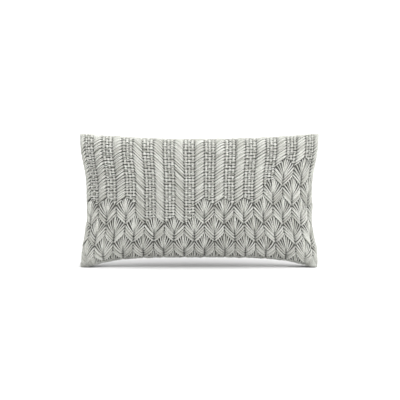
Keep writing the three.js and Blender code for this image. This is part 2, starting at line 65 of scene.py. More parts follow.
# ==== The filled cover ==========================================================================
# The cover is two pieces of cloth, cut to one size and sewn edge to edge round a stuffed insert.
# Each face stands up in a crown, the seam pulls in between the corners, and the lower corners are
# pressed into small feet. A cloth simulation then settles the cut cloth over that form.
CUT_WIDTH, CUT_HEIGHT = 0.560, 0.316
SEAM_HALF_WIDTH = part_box("front_canvas")[1][0]
TOP_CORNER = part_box("front_canvas")[1][2]
CORNER_PRESS = 0.0035
SEAM_HALF_HEIGHT = (TOP_CORNER + CORNER_PRESS) / 2
SIDE_PULL_IN, TOP_PULL_IN, BOTTOM_PULL_IN = 0.014, 0.013, 0.027
FRONT_CROWN, BACK_CROWN = 0.050, 0.055
FOOT_HALF_DEPTH = 0.011
SETTLING = 0.05  # the filling sinks, so the lower half is this share fuller
CLOTH_COLUMNS, CLOTH_ROWS = 104, 60
FRONT, BACK = -1, 1


def smooth(low, high, t):
    share = np.clip((t - low) / (high - low), 0, 1)
    return share * share * (3 - 2 * share)


def turned(share, power):
    """Cloth that is even from seam to seam looks closer together where it turns round an edge."""
    return share * (1 + (1 - np.abs(share) ** power) / power)


def crowned(side, u, v):
    """Points of a face at the shares u and v of its cloth, from -1 to 1 between the seams."""
    a, b = turned(u, 10), turned(v, 9)
    top = SEAM_HALF_HEIGHT - TOP_PULL_IN * (1 - np.abs(a) ** 2.3)
    bottom = BOTTOM_PULL_IN * (1 - np.abs(a) ** 3.8) - SEAM_HALF_HEIGHT
    swell = (np.maximum(0, 1 - np.abs(a) ** 2.2) * np.maximum(0, 1 - np.abs(b) ** 2.2)) ** 0.55
    foot = smooth(0.72, 0.93, np.abs(a)) * np.sqrt(np.minimum(1, (1 - np.abs(a)) / 0.03))
    foot = foot * np.sqrt(np.clip((1 + b) / 0.012, 0, 1)) * (1 - smooth(0.02, 0.5, 1 + b))
    crown = FRONT_CROWN if side == FRONT else BACK_CROWN
    depth = crown * swell * (1 - SETTLING * b) + FOOT_HALF_DEPTH * foot
    x = a * (SEAM_HALF_WIDTH - SIDE_PULL_IN * (1 - smooth(0.22, 0.88, np.abs(b))))
    z = SEAM_HALF_HEIGHT - CORNER_PRESS + (top + bottom) / 2 + b * (top - bottom) / 2
    return np.stack([x, side * depth, z], axis=-1)


def grid_faces(index, flipped):
    quads = np.stack([index[:-1, :-1], index[:-1, 1:], index[1:, 1:], index[1:, :-1]], axis=-1).reshape(-1, 4)
    return quads[:, ::-1] if flipped else quads


FLOOR_GAP = 0.0002  # what rests on the floor stays this far above it


def mesh_object(name, points, faces, smooth_shading=True):
    """A new piece from its points and faces, flattened where it rests on the floor."""
    points = np.array(points, dtype=float)
    points[:, 2] = np.maximum(points[:, 2], FLOOR_GAP)
    mesh = bpy.data.meshes.new(name)
    mesh.from_pydata(points.tolist(), [], list(map(list, faces)))
    mesh.polygons.foreach_set("use_smooth", np.full(len(mesh.polygons), smooth_shading))
    mesh.update()
    piece = bpy.data.objects.new(name, mesh)
    scene.collection.objects.link(piece)
    return piece


cloth_u, cloth_v = np.meshgrid(np.linspace(-1, 1, CLOTH_COLUMNS + 1), np.linspace(-1, 1, CLOTH_ROWS + 1))
inside = np.zeros(cloth_u.shape, dtype=bool)
inside[1:-1, 1:-1] = True
front_index = np.arange(cloth_u.size).reshape(cloth_u.shape)
back_index = front_index.copy()
back_index[inside] = cloth_u.size + np.arange(inside.sum())


def sewn(front_points, back_points):
    """One list of points for both faces, which share the points of the seam."""
    return np.concatenate([front_points.reshape(-1, 3), back_points[inside]])


PRESSURE = 1.3
SIM_FRAMES = 24
MOST_MOVE = 0.010  # the simulation moves no point further than this
ZIP_LINE = 0.061  # height of the zip in the middle of the back
start = sewn(crowned(FRONT, cloth_u, cloth_v), crowned(BACK, cloth_u, cloth_v))
settled = start.copy()
cover = mesh_object(
    "cover_cloth", start, np.concatenate([grid_faces(front_index, False), grid_faces(back_index, True)])
)
flat = np.stack([cloth_u * CUT_WIDTH / 2, 0 * cloth_u, cloth_v * CUT_HEIGHT / 2], axis=-1)
cover.shape_key_add(name="filled")
cut = cover.shape_key_add(name="cut")
cut.data.foreach_set("co", sewn(flat, flat).ravel())
cut.value = 0
cloth = cover.modifiers.new("cloth", "CLOTH")
cloth.settings.quality = 6
cloth.settings.mass = 0.3
cloth.settings.air_damping = 2
cloth.settings.tension_stiffness = 20
cloth.settings.compression_stiffness = 10
cloth.settings.shear_stiffness = 5
cloth.settings.bending_stiffness = 1
cloth.settings.use_pressure = True
cloth.settings.uniform_pressure_force = PRESSURE
cloth.settings.effector_weights.gravity = 0
cloth.settings.rest_shape_key = cut
cloth.point_cache.frame_start, cloth.point_cache.frame_end = 1, SIM_FRAMES
for step in range(1, SIM_FRAMES + 1):
    scene.frame_set(step)
blown = cover.evaluated_get(bpy.context.evaluated_depsgraph_get()).data
settled = np.empty(3 * len(blown.vertices))
blown.vertices.foreach_get("co", settled)
settled = settled.reshape(-1, 3)
scene.frame_set(1)
bpy.data.objects.remove(cover)
move = settled - start
move *= (MOST_MOVE / (MOST_MOVE + np.linalg.norm(move, axis=1)))[:, None]
seam_distance = 1 - np.maximum(np.abs(cloth_u), np.abs(cloth_v))
give = smooth(0, 0.07, seam_distance)  # the seam holds its line
back_height = crowned(BACK, cloth_u, cloth_v)[..., 2]
beside = smooth(0.016, 0.05, np.abs(back_height - ZIP_LINE))  # and so does the zip
front_share = np.repeat(0.25 * give[..., None], 3, axis=-1)  # the front is stiff with its needlework
move *= sewn(front_share, np.repeat((give * beside)[..., None], 3, axis=-1))
settled = start + move


def eased(grid, rounds):
    """The face with its fine wrinkles smoothed out and its seam left alone."""
    grid = grid.copy()
    for _ in range(rounds):
        middle = (grid[:-2, 1:-1] + grid[2:, 1:-1] + grid[1:-1, :-2] + grid[1:-1, 2:]) / 4
        grid[1:-1, 1:-1] = 0.5 * grid[1:-1, 1:-1] + 0.5 * middle
    return grid


UPPER_CORNER_RADIUS, LOWER_CORNER_RADIUS = 0.009, 0.005


def soft_corners(grid):
    """The face with the points of its corners turned in, as a sewn and filled corner sits."""
    radius = np.where(cloth_v > 0, UPPER_CORNER_RADIUS, LOWER_CORNER_RADIUS)
    out_x = np.maximum(0, radius - (1 - np.abs(cloth_u)) * SEAM_HALF_WIDTH)
    out_z = np.maximum(0, radius - (1 - np.abs(cloth_v)) * SEAM_HALF_HEIGHT)
    reach = np.hypot(out_x, out_z)
    draw = np.where(reach > 0, np.maximum(out_x, out_z) / np.maximum(reach, 1e-9) - 1, 0)
    grid = grid.copy()
    grid[..., 0] += draw * out_x * np.sign(cloth_u)
    grid[..., 2] += draw * out_z * np.sign(cloth_v)
    return grid


PUCKER = 0.0026


def puckered(grid):
    """The back's thinner cloth, gathered a little by its seams and drawn in folds to its corners."""
    seed = np.random.default_rng(11)
    along_x, along_z = cloth_u * SEAM_HALF_WIDTH, cloth_v * SEAM_HALF_HEIGHT
    from_side = SEAM_HALF_WIDTH - np.abs(along_x)
    from_end = SEAM_HALF_HEIGHT - np.abs(along_z)
    waves = 0
    for along, away in ((along_x, from_end), (along_z, from_side)):
        reach = smooth(0, 0.008, away) * np.exp(-away / 0.022)
        for length in (0.021, 0.034, 0.055):
            tilt = seed.uniform(-0.5, 0.5)
            phase = seed.uniform(0, 6)
            wave = np.sin(2 * np.pi * (along + tilt * away) / length + phase)
            waves = waves + reach * wave * (length / 0.04)
    for sign_x, sign_z in ((-1, -1), (-1, 1), (1, -1), (1, 1)):
        out_x, out_z = SEAM_HALF_WIDTH - sign_x * along_x, SEAM_HALF_HEIGHT - sign_z * along_z
        distance, bearing = np.hypot(out_x, out_z), np.arctan2(out_z, out_x)
        fold = np.exp(-((bearing - seed.uniform(0.55, 0.95)) ** 2) / 0.03)
        waves = waves - 1.6 * fold * smooth(0.015, 0.05, distance) * (1 - smooth(0.06, 0.15, distance))
    grid = grid.copy()
    grid[..., 1] += PUCKER * waves * beside * give
    return grid


front_grid = soft_corners(eased(settled[front_index], 10))  # the needlework is too stiff to crease
back_grid = soft_corners(puckered(eased(settled[back_index], 1)))


def sample(grid, u, v):
    """The face at cloth shares u and v, by cubic interpolation between the grid's points."""
    rows, columns = grid.shape[0] - 1, grid.shape[1] - 1
    x, y = (np.clip(u, -1, 1) + 1) / 2 * columns, (np.clip(v, -1, 1) + 1) / 2 * rows
    i, j = np.minimum(x.astype(int), columns - 1), np.minimum(y.astype(int), rows - 1)

    def weights(t):
        return [
            (-t + 2 * t**2 - t**3) / 2,
            (2 - 5 * t**2 + 3 * t**3) / 2,
            (t + 4 * t**2 - 3 * t**3) / 2,
            (t**3 - t**2) / 2,
        ]

    across, up = weights(x - i), weights(y - j)
    total = 0
    for q in range(4):
        for p in range(4):
            column, row = np.clip(i + p - 1, 0, columns), np.clip(j + q - 1, 0, rows)
            total = total + (across[p] * up[q])[..., None] * grid[row, column]
    return total


def unit(vectors):
    return vectors / np.maximum(np.linalg.norm(vectors, axis=-1, keepdims=True), 1e-9)


def face_frame(grid, side, u, v):
    """The face's point and its outward normal."""
    cu, cv = np.clip(u, -0.975, 0.975), np.clip(v, -0.975, 0.975)
    along = sample(grid, cu + 0.01, cv) - sample(grid, cu - 0.01, cv)
    up = sample(grid, cu, cv + 0.01) - sample(grid, cu, cv - 0.01)
    return sample(grid, u, v), unit(np.cross(along, up) * -side)


def closed_sheet(name, outer, inner, loop_uv):
    """A cloth with thickness: two facing grids of points, joined round their borders."""
    shape = outer.shape[:2]
    size = shape[0] * shape[1]
    index = np.arange(size).reshape(shape)
    ring = np.concatenate([index[0, :-1], index[:-1, -1], index[-1, :0:-1], index[:0:-1, 0]])
    rim = np.stack([np.roll(ring, -1), ring, ring + size, np.roll(ring, -1) + size], axis=-1)
    faces = np.concatenate([grid_faces(index, False), grid_faces(index + size, True), rim])
    piece = mesh_object(name, np.concatenate([outer.reshape(-1, 3), inner.reshape(-1, 3)]), faces)
    layer = piece.data.uv_layers.new(name="cloth")
    corners = np.empty(len(piece.data.loops), dtype=int)
    piece.data.loops.foreach_get("vertex_index", corners)
    layer.data.foreach_set("uv", np.tile(loop_uv.reshape(-1, 2), (2, 1))[corners].ravel())
    return piece


# ==== Shared cloth effects ======================================================================
# Heather is the mottle of dyed and undyed fibres in wool. Weave is the over and under of a plain
# cloth, counted in threads on the cloth's own map, which is in metres.
def new_group(name, inputs, outputs):
    group = bpy.data.node_groups.new(name, "ShaderNodeTree")
    for socket_name, kind, value in inputs:
        socket = group.interface.new_socket(socket_name, in_out="INPUT", socket_type=kind)
        if value is not None:
            socket.default_value = value
    for socket_name, kind in outputs:
        group.interface.new_socket(socket_name, in_out="OUTPUT", socket_type=kind)
    return group, group.nodes.new("NodeGroupInput"), group.nodes.new("NodeGroupOutput")


def math_node(tree, operation, first, second=None, clamp=False):
    node = tree.nodes.new("ShaderNodeMath")
    node.operation = operation
    node.use_clamp = clamp
    for socket, value in zip(node.inputs, (first, second)):
        if isinstance(value, (int, float)):
            socket.default_value = value
        elif value is not None:
            tree.links.new(value, socket)
    return node.outputs[0]


def noise(tree, vector, scale, detail=3.0, roughness=0.5):
    node = tree.nodes.new("ShaderNodeTexNoise")
    node.inputs["Scale"].default_value = scale
    node.inputs["Detail"].default_value = detail
    node.inputs["Roughness"].default_value = roughness
    tree.links.new(vector, node.inputs["Vector"])
    return node.outputs["Fac"]


def scaled(tree, vector, factors):
    node = tree.nodes.new("ShaderNodeVectorMath")
    node.operation = "MULTIPLY"
    tree.links.new(vector, node.inputs[0])
    node.inputs[1].default_value = factors
    return node.outputs[0]


def ramp(tree, value, stops):
    node = tree.nodes.new("ShaderNodeValToRGB")
    while len(node.color_ramp.elements) < len(stops):
        node.color_ramp.elements.new(0.5)
    for element, (place, color) in zip(node.color_ramp.elements, stops):
        element.position = place
        element.color = (*color, 1)
    tree.links.new(value, node.inputs[0])
    return node.outputs[0]


weave_group, weave_in, weave_out = new_group(
    "weave",
    [("Vector", "NodeSocketVector", None), ("Threads per metre", "NodeSocketFloat", 900.0)],
    [("Height", "NodeSocketFloat"), ("Gap", "NodeSocketFloat")],
)
weave_split = weave_group.nodes.new("ShaderNodeSeparateXYZ")
weave_group.links.new(weave_in.outputs["Vector"], weave_split.inputs[0])
thread_u = math_node(weave_group, "MULTIPLY", weave_split.outputs[0], weave_in.outputs["Threads per metre"])
thread_v = math_node(weave_group, "MULTIPLY", weave_split.outputs[1], weave_in.outputs["Threads per metre"])
wave_u = math_node(weave_group, "SINE", math_node(weave_group, "MULTIPLY", thread_u, math.pi))
wave_v = math_node(weave_group, "SINE", math_node(weave_group, "MULTIPLY", thread_v, math.pi))
crossing = math_node(weave_group, "MULTIPLY", wave_u, wave_v)
warp_round = math_node(weave_group, "ABSOLUTE", wave_u)
weft_round = math_node(weave_group, "ABSOLUTE", wave_v)
over = math_node(weave_group, "GREATER_THAN", crossing, 0.0)
warp_top = math_node(weave_group, "MULTIPLY", warp_round, over)
weft_top = math_node(weave_group, "MULTIPLY", weft_round, math_node(weave_group, "SUBTRACT", 1.0, over))
weave_height = math_node(weave_group, "ADD", warp_top, weft_top)
weave_group.links.new(weave_height, weave_out.inputs["Height"])
# The gap rises where the threads part. The cloths darken there as painted shade.
gap = math_node(weave_group, "MULTIPLY", warp_round, weft_round)
gap = math_node(weave_group, "SUBTRACT", 1.0, math_node(weave_group, "POWER", gap, 0.35), clamp=True)
weave_group.links.new(gap, weave_out.inputs["Gap"])

heather_group, heather_in, heather_out = new_group(
    "heather",
    [
        ("Vector", "NodeSocketVector", None),
        ("Dark", "NodeSocketColor", (0.3, 0.3, 0.27, 1)),
        ("Middle", "NodeSocketColor", (0.45, 0.45, 0.42, 1)),
        ("Light", "NodeSocketColor", (0.65, 0.65, 0.6, 1)),
    ],
    [("Color", "NodeSocketColor"), ("Fibre", "NodeSocketFloat")],
)
fine_fibre = noise(heather_group, heather_in.outputs["Vector"], 1.0, 4.0, 0.65)
cloudy = noise(heather_group, scaled(heather_group, heather_in.outputs["Vector"], (0.13,) * 3), 1.0, 2.0)


def mixed(tree, factor, first, second):
    node = tree.nodes.new("ShaderNodeMix")
    node.data_type = "RGBA"
    for socket, value in ((node.inputs[0], factor), (node.inputs[6], first), (node.inputs[7], second)):
        if isinstance(value, (int, float)):
            socket.default_value = value
        elif isinstance(value, tuple):
            socket.default_value = (*value, 1)
        else:
            tree.links.new(value, socket)
    return node.outputs[2]


low_share = math_node(heather_group, "MULTIPLY_ADD", fine_fibre, 5.0)
low_share.node.inputs[2].default_value = -1.7
low_share.node.use_clamp = True
high_share = math_node(heather_group, "MULTIPLY_ADD", fine_fibre, 6.0)
high_share.node.inputs[2].default_value = -3.1
high_share.node.use_clamp = True
dark_to_middle = mixed(heather_group, low_share, heather_in.outputs["Dark"], heather_in.outputs["Middle"])
heathered = mixed(heather_group, high_share, dark_to_middle, heather_in.outputs["Light"])
cloud_share = math_node(heather_group, "MULTIPLY_ADD", cloudy, 0.5)
cloud_share.node.inputs[2].default_value = 0.05
clouded = mixed(heather_group, cloud_share, heathered, heather_in.outputs["Middle"])
heather_group.links.new(clouded, heather_out.inputs["Color"])
heather_group.links.new(fine_fibre, heather_out.inputs["Fibre"])


def new_material(name):
    material = bpy.data.materials.new(name)
    material.use_nodes = True
    return material, material.node_tree, material.node_tree.nodes["Principled BSDF"]


def bumped(tree, shader, height, strength, distance):
    node = tree.nodes.new("ShaderNodeBump")
    node.inputs["Strength"].default_value = strength
    node.inputs["Distance"].default_value = distance
    tree.links.new(height, node.inputs["Height"])
    tree.links.new(node.outputs[0], shader.inputs["Normal"])


def cloth_map(tree, name="cloth"):
    node = tree.nodes.new("ShaderNodeUVMap")
    node.uv_map = name
    return node.outputs[0]


def multiplied(tree, first, second):
    product = mixed(tree, 1.0, first, second)
    product.node.blend_type = "MULTIPLY"
    return product


def object_place(tree):
    return tree.nodes.new("ShaderNodeTexCoord").outputs["Object"]


def tinted(tree, shader, value, stops):
    tree.links.new(ramp(tree, value, stops), shader.inputs["Base Color"])


def weave_node(tree, vector, threads):
    weave = tree.nodes.new("ShaderNodeGroup")
    weave.node_tree = weave_group
    weave.inputs["Threads per metre"].default_value = threads
    tree.links.new(vector, weave.inputs["Vector"])
    return weave


def heather_node(tree, vector, colors):
    heather = tree.nodes.new("ShaderNodeGroup")
    heather.node_tree = heather_group
    for socket, color in zip(("Dark", "Middle", "Light"), colors):
        heather.inputs[socket].default_value = (*color, 1)
    tree.links.new(vector, heather.inputs["Vector"])
    return heather


def woven_material(name, threads, colors, gap_shade_color, bump, sheen):
    """Plain-woven cloth of heathered thread: colors are dark, middle and light, and the gap shade colour is
    painted shade between the threads.
    """
    material, tree, shader = new_material(name)
    position = cloth_map(tree)
    weave = weave_node(tree, position, threads)
    heather = heather_node(tree, scaled(tree, position, (threads * 1.3,) * 3), colors)
    warp_slub = noise(tree, scaled(tree, position, (threads * 0.55, threads * 0.02, 1)), 1.0, 3.0)
    weft_slub = noise(tree, scaled(tree, position, (threads * 0.02, threads * 0.55, 1)), 1.0, 3.0)
    slub = math_node(tree, "MULTIPLY", math_node(tree, "ADD", warp_slub, weft_slub), 0.5)
    slub_tone = ramp(tree, slub, [(0.36, (0.7, 0.7, 0.69)), (0.5, (0.96,) * 3), (0.62, (1.18,) * 3)])
    uneven = multiplied(tree, heather.outputs["Color"], slub_tone)
    # Painted shade: the colour darkens towards the gap shade colour between the threads.
    gap_shade_share = math_node(tree, "MULTIPLY", weave.outputs["Gap"], 0.85, clamp=True)
    tree.links.new(mixed(tree, gap_shade_share, uneven, gap_shade_color), shader.inputs["Base Color"])
    shader.inputs["Roughness"].default_value = 0.92
    shader.inputs["Specular IOR Level"].default_value = 0.25
    shader.inputs["Sheen Weight"].default_value = sheen
    shader.inputs["Sheen Roughness"].default_value = 0.5
    rough = math_node(tree, "MULTIPLY", heather.outputs["Fibre"], 0.35)
    bumped(tree, shader, math_node(tree, "ADD", weave.outputs["Height"], rough), bump, 0.6 / threads)
    return material


# ==== Insert ====================================================================================
# A cotton case of two faces sewn together, blown full of fibre. It is cut smaller than the cover
# and fills it. Its corners stay soft, and its cloth shows small puckers along the seam.
INSERT_ROOM = 0.011
INSERT_SINK = {FRONT: 0.008, BACK: 0.018}
FILL_ROOM, FILL_SINK = 0.006, 0.0036
CASE_PUCKER, CASE_SINK, HALF_SEAM = 0.0007, 0.0008, 0.0002
insert_u, insert_v = np.meshgrid(np.linspace(-1, 1, 81), np.linspace(-1, 1, 49))


def inner_face(side, room, sink):
    """A face of what lies inside the cover: drawn in from the cover's seam and lower in its crown."""
    points = crowned(side, insert_u, insert_v)
    crown = FRONT_CROWN if side == FRONT else BACK_CROWN
    middle = (TOP_CORNER - CORNER_PRESS) / 2
    swell_x = np.maximum(0, 1 - np.abs(turned(insert_u, 10)) ** 2.2)
    swell = swell_x * np.maximum(0, 1 - np.abs(turned(insert_v, 9)) ** 2.2)
    depth = (crown - sink) * swell**0.55 * (1 - SETTLING * turned(insert_v, 9))
    edge = np.maximum(np.abs(insert_u), np.abs(insert_v))
    pucker = CASE_PUCKER * np.sin(insert_u * 47 + 2 * np.sin(insert_v * 9)) * np.sin(insert_v * 29) * edge**2
    depth = np.maximum(0, depth - CASE_SINK + pucker * (swell > 0.02))
    x = points[..., 0] * (1 - room / SEAM_HALF_WIDTH)
    z = middle + (points[..., 2] - middle) * (1 - room / SEAM_HALF_HEIGHT)
    return np.stack([x, side * (depth + HALF_SEAM), z], axis=-1)


def stuffed(name, room, sink_front, sink_back):
    """A closed soft body with a front and a back face."""
    piece = closed_sheet(
        name,
        inner_face(FRONT, room, sink_front),
        inner_face(BACK, room, sink_back),
        np.stack([insert_u * CUT_WIDTH / 2, insert_v * CUT_HEIGHT / 2], axis=-1),
    )
    return piece


insert_case = stuffed("insert_case", INSERT_ROOM, INSERT_SINK[FRONT], INSERT_SINK[BACK])
insert_case.data.materials.append(
    woven_material(
        "ticking",
        1600,
        ((0.72, 0.71, 0.67), (0.82, 0.81, 0.77), (0.9, 0.89, 0.86)),
        # Painted shade between the ticking's threads.
        (0.6, 0.59, 0.56),
        0.3,
        0.1,
    )
)
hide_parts("insert_case_front", "insert_case_back")
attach(insert_case, "pillow")

FIBRE_WHITE = ((0.8, 0.8, 0.78), (0.9, 0.9, 0.88), (0.95, 0.95, 0.94))
insert_filling = stuffed(
    "insert_fibre_fill",
    INSERT_ROOM + FILL_ROOM,
    INSERT_SINK[FRONT] + FILL_SINK,
    INSERT_SINK[BACK] + FILL_SINK,
)
fibre_fill, fibre_tree, fibre_shader = new_material("fibre_fill")
clumps = noise(fibre_tree, scaled(fibre_tree, object_place(fibre_tree), (60,) * 3), 1.0, 6.0, 0.7)
tinted(fibre_tree, fibre_shader, clumps, list(zip((0.3, 0.5, 0.7), FIBRE_WHITE)))
fibre_shader.inputs["Roughness"].default_value = 1.0
bumped(fibre_tree, fibre_shader, clumps, 0.8, 0.004)
insert_filling.data.materials.append(fibre_fill)
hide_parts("insert_filling")
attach(insert_filling, "pillow")

# ==== Front canvas ==============================================================================
# The ground of the needlework: an open wool canvas, pulled tight by its stitches. It shows only in
# the holes between them, and its dark colour is painted shade for those holes.
STITCH = 0.0073  # one square of the canvas
MIDDLE_COLUMN = 1.5
HALF_COLUMNS = CUT_WIDTH / 2 / STITCH
HALF_ROWS = CUT_HEIGHT / 2 / STITCH
CANVAS_THICKNESS = 0.0012


def cloth_between(name, grid, side, u, v, thickness, lift=0.0):
    """A cloth over part of a face; lift, in metres, raises its outer side."""
    place, normal = face_frame(grid, side, u, v)
    outer = place + normal * np.broadcast_to(lift, u.shape)[..., None]
    inner = outer - normal * thickness
    loop_uv = np.stack([u * CUT_WIDTH / 2, v * CUT_HEIGHT / 2], axis=-1)
    if side == BACK:
        outer, inner, loop_uv = outer[:, ::-1], inner[:, ::-1], loop_uv[:, ::-1]
    return closed_sheet(name, outer, inner, loop_uv)


canvas_u, canvas_v = np.meshgrid(np.linspace(-1, 1, 155), np.linspace(-1, 1, 87))
front_canvas = cloth_between("wool_canvas", front_grid, FRONT, canvas_u, canvas_v, CANVAS_THICKNESS)
front_canvas.data.materials.append(
    woven_material(
        "canvas_wool",
        2 / STITCH,
        # Painted shade: the canvas is coloured dark, with near-black gaps, for the shade in the holes between
        # the stitches.
        ((0.06, 0.06, 0.055), (0.115, 0.115, 0.105), (0.17, 0.17, 0.155)),
        (0.015, 0.015, 0.015),
        0.8,
        0.0,
    )
)
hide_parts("front_canvas")
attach(front_canvas, "pillow")

# ==== Facing strips =============================================================================
# At each side the back's plain cloth turns round the seam onto the front, where it covers the bare
# edge of the canvas. It widens at the lower corners, below the last row of leaves.
SIDE_MARGIN, EDGE_MARGIN = 0.9, 0.35
FACING_CLOTH, SIDE_LIFT, EDGE_LIFT = 0.0008, 0.0009, 0.0007
LEFT_COLUMN = MIDDLE_COLUMN - HALF_COLUMNS + SIDE_MARGIN
RIGHT_COLUMN = MIDDLE_COLUMN + HALF_COLUMNS - SIDE_MARGIN
TOP_ROW = HALF_ROWS - EDGE_MARGIN
BOTTOM_ROW = -TOP_ROW
PLAIN_GREYS = ((0.27, 0.27, 0.25), (0.42, 0.42, 0.39), (0.56, 0.56, 0.53))
# The back cloth's fourth colour is painted shade between its threads.
plain_cloth = woven_material("back_cloth", 560, PLAIN_GREYS, (0.13, 0.13, 0.12), 0.8, 0.15)
for strip_name, hand in (("facing_strip_left", -1), ("facing_strip_right", 1)):
    strip_up = np.linspace(-1, 1, 100)
    corner = 1 - smooth(-18.2, -15, strip_up * HALF_ROWS)
    reach = (SIDE_MARGIN + 0.5 + 5.8 * corner) / HALF_COLUMNS
    inward = np.linspace(0, 1, 12) ** 1.3
    strip_u = hand * (1 - reach[:, None] * inward[None, :])
    strip_v = np.broadcast_to(strip_up[:, None], strip_u.shape)
    if hand > 0:
        strip_u = strip_u[:, ::-1]
    strip = cloth_between(strip_name, front_grid, FRONT, strip_u, strip_v, FACING_CLOTH, SIDE_LIFT)
    strip.data.materials.append(plain_cloth)
    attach(strip, "pillow")
for strip_name, hand in (("facing_strip_lower", -1), ("facing_strip_upper", 1)):
    inward = np.linspace(0, 1, 8)[:, None]
    strip_u = np.broadcast_to(np.linspace(-0.97, 0.97, 150), (8, 150))
    strip_v = np.broadcast_to(hand * (1 - (EDGE_MARGIN + 1.1) / HALF_ROWS * inward), strip_u.shape)
    if hand > 0:
        strip_v = strip_v[::-1]
    strip = cloth_between(strip_name, front_grid, FRONT, strip_u, strip_v, FACING_CLOTH, EDGE_LIFT)
    strip.data.materials.append(plain_cloth)
    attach(strip, "pillow")

# ==== Needlework yarn ===========================================================================
# Every stitch is a length of thick two-ply wool that comes up through one hole of the canvas and
# goes down through another. One strand is modelled, and each stitch is a bent copy of it.
YARN_SIDES = 7
YARN_PARTS = 7
DIVE = 0.0008  # the ends go this far below the canvas' face


def straight_strand(parts):
    """A short upright cylinder with its length divided, as points, faces and the places round it."""
    bpy.ops.object.select_all(action="DESELECT")
    bpy.ops.mesh.primitive_cylinder_add(vertices=YARN_SIDES, radius=1, depth=1, end_fill_type="NGON")
    strand = bpy.context.object
    bpy.context.tool_settings.mesh_select_mode = (False, True, False)
    bpy.ops.object.mode_set(mode="EDIT")
    bpy.ops.mesh.select_all(action="DESELECT")
    bpy.ops.object.mode_set(mode="OBJECT")
    for edge in strand.data.edges:
        low, high = (strand.data.vertices[i].co.z for i in edge.vertices)
        edge.select = abs(high - low) > 0.5
    bpy.ops.object.mode_set(mode="EDIT")
    bpy.ops.mesh.subdivide(number_cuts=parts - 1)
    bpy.ops.object.mode_set(mode="OBJECT")
    points = np.array([vertex.co[:] for vertex in strand.data.vertices])
    faces = [list(face.vertices) for face in strand.data.polygons]
    bpy.data.objects.remove(strand)
    return points, faces


long_strand = straight_strand(YARN_PARTS)
short_strand = straight_strand(4)


def bent_strands(strand, centres, normals, radii, flatness=0.92):
    """Copies of the strand, each bent along its row of centres. Gives points and faces."""
    points, faces = strand
    levels = centres.shape[1]
    level = np.rint((points[:, 2] + 0.5) * (levels - 1)).astype(int)
    tangents = unit(np.gradient(centres, axis=1))
    upright = unit(normals - (normals * tangents).sum(-1, keepdims=True) * tangents)
    sideways = np.cross(upright, tangents)
    taper = 1 - 0.3 * np.abs(np.linspace(-1, 1, levels)) ** 5
    width = (radii[:, None] * taper[None, :])[:, level, None]
    moved = (
        centres[:, level]
        + sideways[:, level] * points[None, :, 0, None] * width
        + upright[:, level] * points[None, :, 1, None] * width * flatness
    )
    return moved, faces


def stitch_shares(places):
    """Cloth shares of [column, row] places on the canvas."""
    return (places[..., 0] - MIDDLE_COLUMN) / HALF_COLUMNS, places[..., 1] / HALF_ROWS


def needlework(name, nodes, stitches, strand=long_strand):
    """One piece of needlework. A stitch is (start, end, rise, radius, bow), in squares and metres.
    The bow is how far its middle stands aside from the line between its ends."""
    parts = YARN_PARTS if strand is long_strand else 4
    seed = np.random.default_rng(sum(map(ord, name)))
    starts, ends, rises, radii, bows = (np.array(part, dtype=float) for part in zip(*stitches))
    starts = starts + seed.normal(0, 0.035, starts.shape)
    ends = ends + seed.normal(0, 0.035, ends.shape)
    rises = rises * seed.uniform(0.8, 1.12, len(stitches))
    radii = radii * seed.uniform(0.93, 1.07, len(stitches))
    along = np.linspace(0, 1, parts + 1)
    wander = seed.normal(0, 0.05, (len(stitches), 1, 2)) + bows[:, None]
    wander = wander * np.sin(np.pi * along)[None, :, None] ** 0.7
    places = starts[:, None] + (ends - starts)[:, None] * along[None, :, None] + wander
    u, v = stitch_shares(places)
    ground, normals = face_frame(front_grid, FRONT, u, v)
    edge = np.minimum(
        smooth(-0.3, 2.0, HALF_COLUMNS * (1 - np.abs(u))), smooth(-0.3, 2.2, HALF_ROWS * (1 - np.abs(v)))
    )
    arch = (1 - np.abs(2 * along - 1) ** 2.3) ** 0.6
    height = -DIVE + (rises[:, None] * (0.6 + 0.4 * edge) + DIVE) * arch[None, :]
    centres = ground + normals * height[..., None]
    points, faces = bent_strands(strand, centres, normals, radii)
    count, size = points.shape[:2]
    all_faces = [[i + size * n for i in face] for n in range(count) for face in faces]
    piece = mesh_object(name, points.reshape(-1, 3), all_faces)
    lengths = np.linalg.norm(np.diff(centres, axis=1), axis=-1).sum(axis=1)
    turns, lifts = [], []
    for face in faces:
        angles = [(math.atan2(strand[0][i][1], strand[0][i][0]) / (2 * math.pi)) % 1 for i in face]
        spread = max(angles) - min(angles)
        turns += [a + 1 if spread > 0.5 and a < 0.5 else a for a in angles]
        lifts += [strand[0][i][2] + 0.5 for i in face]
    yarn_map = np.empty((count, len(turns), 2))
    yarn_map[..., 0] = np.array(lifts)[None, :] * lengths[:, None] + seed.uniform(0, 0.05, (count, 1))
    yarn_map[..., 1] = np.array(turns)[None, :]
    piece.data.uv_layers.new(name="yarn").data.foreach_set("uv", yarn_map.ravel())
    shade = piece.data.attributes.new("shade", "FLOAT", "POINT")
    shade.data.foreach_set("value", np.repeat(seed.uniform(0, 1, count), size))
    piece.data.materials.append(wool)
    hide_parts(*nodes)
    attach(piece, "pillow")
    return piece


